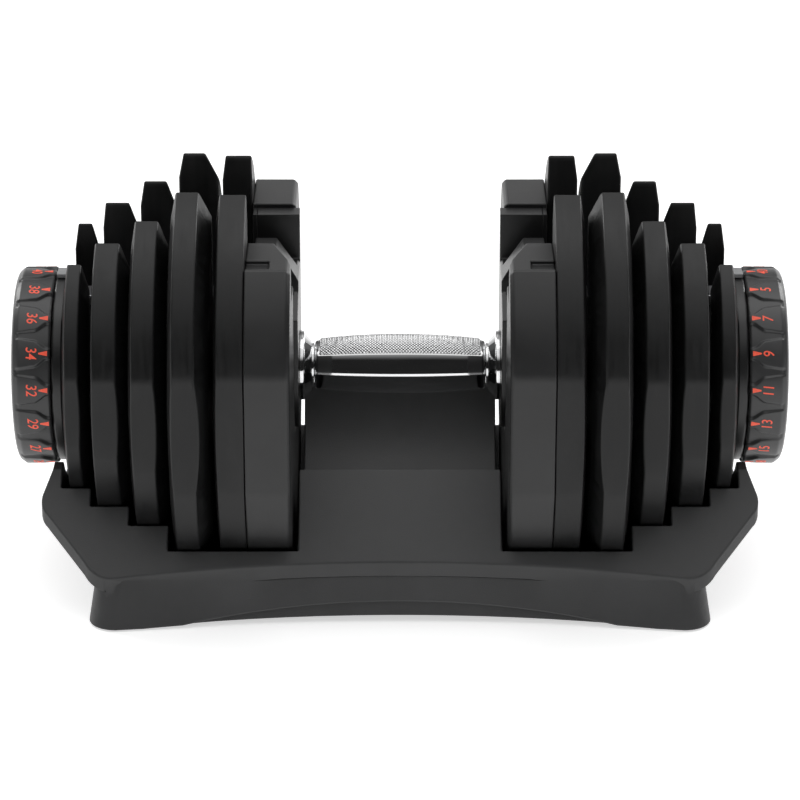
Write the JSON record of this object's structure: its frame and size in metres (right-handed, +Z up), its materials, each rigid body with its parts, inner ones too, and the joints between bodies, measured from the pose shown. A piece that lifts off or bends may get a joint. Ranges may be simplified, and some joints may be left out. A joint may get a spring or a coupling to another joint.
{
  "type": "adjustable dumbbell",
  "caption": "Adjustable dumbbell in its tray: dials at both ends pick which slotted plates lift with the chrome handle.",
  "frame": {"origin": "on the ground under the middle of the handle, at the bottom of the rubber feet", "axes": "+X along the handle to the right, +Y to the back, +Z up"},
  "size_m": [0.4444, 0.242, 0.2347],
  "materials": {
    "tray_plastic": "moulded black plastic with a fine spark-eroded grain",
    "foot_rubber": "soft matt black",
    "chrome": "polished, knurled on the top panel",
    "zinc_steel": "bright zinc",
    "spring_steel": "oiled spring wire",
    "block_plastic": "satin moulded black",
    "plate_coating": "cast plate with a satin black coating",
    "guard_plastic": "satin black",
    "pointer_grey": "satin grey",
    "disc_nylon": "dark glass-filled nylon",
    "dial_plastic": "black with red numbers"
  },
  "bodies": {
    "tray": {"tray": "tray_plastic", "rubber_feet": "foot_rubber"},
    "handle": {"grip": "chrome", "shaft": "zinc_steel", "grip_collar_left": "chrome", "guard_left": "guard_plastic", "guard_cover_left": "guard_plastic", "top_rail_left": "zinc_steel", "index_ring_left": "guard_plastic", "index_pointer_left": "pointer_grey", "end_washer_left": "zinc_steel", "end_nut_left": "zinc_steel", "lock_spring_left": "spring_steel", "detent_spring_left": "spring_steel", "grip_collar_right": "chrome", "guard_right": "guard_plastic", "guard_cover_right": "guard_plastic", "top_rail_right": "zinc_steel", "index_ring_right": "guard_plastic", "index_pointer_right": "pointer_grey", "end_washer_right": "zinc_steel", "end_nut_right": "zinc_steel", "lock_spring_right": "spring_steel", "detent_spring_right": "spring_steel"},
    "dial_left": {"selector_tube_left": "zinc_steel", "lock_wheel_left": "zinc_steel", "dial_left": "dial_plastic", "dial_cap_left": "dial_plastic", "selector_disc_a_left": "disc_nylon", "selector_disc_b_left": "disc_nylon", "selector_disc_c_left": "disc_nylon", "selector_disc_d_left": "disc_nylon", "selector_disc_e_left": "disc_nylon"},
    "plate_a_left": {"plate_a_left": "plate_coating"},
    "plate_b_left": {"plate_b_left": "plate_coating"},
    "plate_c_left": {"plate_c_left": "plate_coating"},
    "plate_d_left": {"plate_d_left": "plate_coating"},
    "plate_e_left": {"plate_e_left": "plate_coating", "plate_block_left": "block_plastic"},
    "lock_pin_left": {"lock_pin_left": "zinc_steel"},
    "detent_ball_left": {"detent_ball_left": "zinc_steel"},
    "dial_right": {"selector_tube_right": "zinc_steel", "lock_wheel_right": "zinc_steel", "dial_right": "dial_plastic", "dial_cap_right": "dial_plastic", "selector_disc_a_right": "disc_nylon", "selector_disc_b_right": "disc_nylon", "selector_disc_c_right": "disc_nylon", "selector_disc_d_right": "disc_nylon", "selector_disc_e_right": "disc_nylon"},
    "plate_a_right": {"plate_a_right": "plate_coating"},
    "plate_b_right": {"plate_b_right": "plate_coating"},
    "plate_c_right": {"plate_c_right": "plate_coating"},
    "plate_d_right": {"plate_d_right": "plate_coating"},
    "plate_e_right": {"plate_e_right": "plate_coating", "plate_block_right": "block_plastic"},
    "lock_pin_right": {"lock_pin_right": "zinc_steel"},
    "detent_ball_right": {"detent_ball_right": "zinc_steel"}
  },
  "joints": [
    {"name": "handle_lift", "type": "slide", "parent": "tray", "child": "handle", "axis": [0, 0, 1], "range_m": [0, 0.25]},
    {"name": "plate_a_left_lift", "type": "slide", "parent": "tray", "child": "plate_a_left", "axis": [0, 0, 1], "range_m": [0, 0.25]},
    {"name": "plate_b_left_lift", "type": "slide", "parent": "tray", "child": "plate_b_left", "axis": [0, 0, 1], "range_m": [0, 0.25]},
    {"name": "plate_c_left_lift", "type": "slide", "parent": "tray", "child": "plate_c_left", "axis": [0, 0, 1], "range_m": [0, 0.25]},
    {"name": "plate_d_left_lift", "type": "slide", "parent": "tray", "child": "plate_d_left", "axis": [0, 0, 1], "range_m": [0, 0.25]},
    {"name": "plate_e_left_lift", "type": "slide", "parent": "tray", "child": "plate_e_left", "axis": [0, 0, 1], "range_m": [0, 0.25]},
    {"name": "dial_left_turn", "type": "hinge", "parent": "handle", "child": "dial_left", "pos_m": [-0.2, 0, 0.117], "axis": [1, 0, 0], "continuous": true},
    {"name": "lock_pin_left_travel", "type": "slide", "parent": "handle", "child": "lock_pin_left", "axis": [0, 0, 1], "range_m": [0, 0.003], "stiffness_N_per_m": 400, "springref_m": -0.004, "deforming": ["lock_spring_left"]},
    {"name": "detent_ball_left_travel", "type": "slide", "parent": "handle", "child": "detent_ball_left", "axis": [1, 0, 0], "range_m": [0, 0.001], "stiffness_N_per_m": 800, "springref_m": -0.0005, "deforming": ["detent_spring_left"]},
    {"name": "plate_a_right_lift", "type": "slide", "parent": "tray", "child": "plate_a_right", "axis": [0, 0, 1], "range_m": [0, 0.25]},
    {"name": "plate_b_right_lift", "type": "slide", "parent": "tray", "child": "plate_b_right", "axis": [0, 0, 1], "range_m": [0, 0.25]},
    {"name": "plate_c_right_lift", "type": "slide", "parent": "tray", "child": "plate_c_right", "axis": [0, 0, 1], "range_m": [0, 0.25]},
    {"name": "plate_d_right_lift", "type": "slide", "parent": "tray", "child": "plate_d_right", "axis": [0, 0, 1], "range_m": [0, 0.25]},
    {"name": "plate_e_right_lift", "type": "slide", "parent": "tray", "child": "plate_e_right", "axis": [0, 0, 1], "range_m": [0, 0.25]},
    {"name": "dial_right_turn", "type": "hinge", "parent": "handle", "child": "dial_right", "pos_m": [0.2, 0, 0.117], "axis": [1, 0, 0], "continuous": true},
    {"name": "lock_pin_right_travel", "type": "slide", "parent": "handle", "child": "lock_pin_right", "axis": [0, 0, 1], "range_m": [0, 0.003], "stiffness_N_per_m": 400, "springref_m": -0.004, "deforming": ["lock_spring_right"]},
    {"name": "detent_ball_right_travel", "type": "slide", "parent": "handle", "child": "detent_ball_right", "axis": [-1, 0, 0], "range_m": [0, 0.001], "stiffness_N_per_m": 800, "springref_m": -0.0005, "deforming": ["detent_spring_right"]}
  ],
  "couplings": [
    {"joint": "plate_a_left_lift", "follows": "handle_lift", "ratio": 1},
    {"joint": "plate_b_left_lift", "follows": "handle_lift", "ratio": 1},
    {"joint": "plate_c_left_lift", "follows": "handle_lift", "ratio": 1},
    {"joint": "plate_d_left_lift", "follows": "handle_lift", "ratio": 1},
    {"joint": "plate_e_left_lift", "follows": "handle_lift", "ratio": 1},
    {"joint": "plate_a_right_lift", "follows": "handle_lift", "ratio": 1},
    {"joint": "plate_b_right_lift", "follows": "handle_lift", "ratio": 1},
    {"joint": "plate_c_right_lift", "follows": "handle_lift", "ratio": 1},
    {"joint": "plate_d_right_lift", "follows": "handle_lift", "ratio": 1},
    {"joint": "plate_e_right_lift", "follows": "handle_lift", "ratio": 1}
  ]
}
